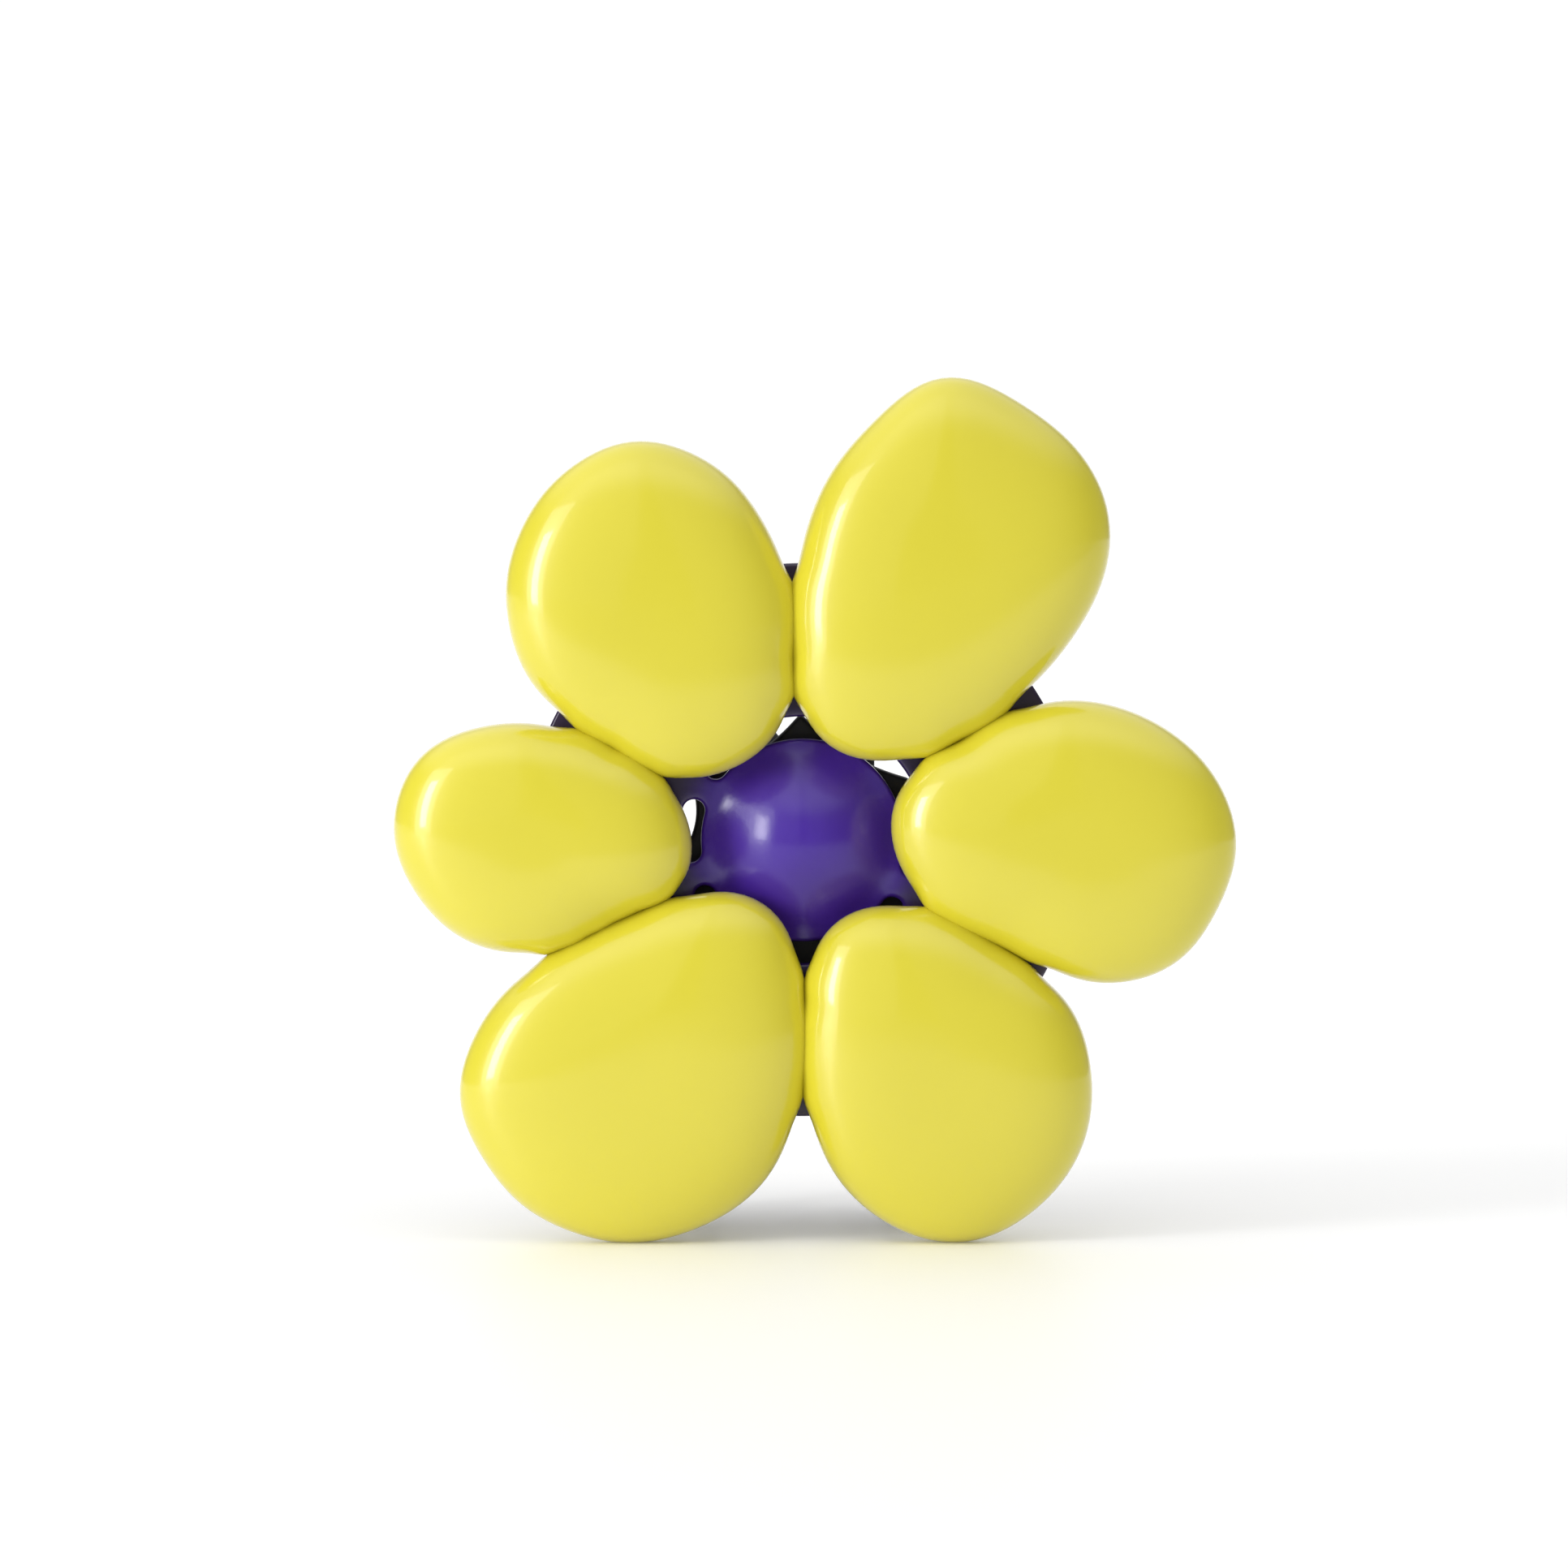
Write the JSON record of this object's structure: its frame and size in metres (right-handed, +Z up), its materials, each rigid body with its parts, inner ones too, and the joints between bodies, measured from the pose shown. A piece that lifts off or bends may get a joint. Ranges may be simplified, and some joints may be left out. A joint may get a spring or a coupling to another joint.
{
  "type": "flower hair claw clip",
  "caption": "Sprung two-jaw hair claw with interlocking curved teeth and a thumb lever, carrying a large flower of glossy yellow pebble-shaped petals on a purple domed plate.",
  "frame": {"origin": "Centre of the bounding box's underside: the lowest points of the two lower petals and of the front jaw's outer teeth stand on z = 0.", "axes": "+Z up, the flower faces -Y and the jaws are behind it at +Y, +X to the right seen from the front. The hinge axis is parallel to X."},
  "size_m": [0.0906, 0.0448, 0.0932],
  "materials": {
    "yellow_gloss": "very glossy enamel-like yellow, slightly green",
    "purple_plastic": "satin deep purple",
    "black_plastic": "satin black moulded plastic",
    "steel": "bright steel wire, pin and screws"
  },
  "bodies": {
    "front_half": {"flower_plate": "purple_plastic", "petal_upper_right_front": "yellow_gloss", "petal_upper_right_back": "yellow_gloss", "petal_right_front": "yellow_gloss", "petal_right_back": "yellow_gloss", "petal_lower_right_front": "yellow_gloss", "petal_lower_right_back": "yellow_gloss", "petal_lower_left_front": "yellow_gloss", "petal_lower_left_back": "yellow_gloss", "petal_left_front": "yellow_gloss", "petal_left_back": "yellow_gloss", "petal_upper_left_front": "yellow_gloss", "petal_upper_left_back": "yellow_gloss", "front_jaw": "black_plastic", "hinge_pin": "steel", "pin_retainer": "steel", "torsion_spring": "steel", "mount_screw_1": "steel", "mount_screw_2": "steel", "mount_screw_3": "steel"},
    "rear_half": {"rear_jaw": "black_plastic"}
  },
  "joints": [
    {"name": "jaw_open", "type": "hinge", "parent": "front_half", "child": "rear_half", "pos_m": [-0.00134, -0.0004, 0.0458], "axis": [1, 0, 0], "range_deg": [0, 38], "stiffness_Nm_per_rad": 0.06, "springref_deg": -68.75, "deforming": ["torsion_spring"]}
  ]
}
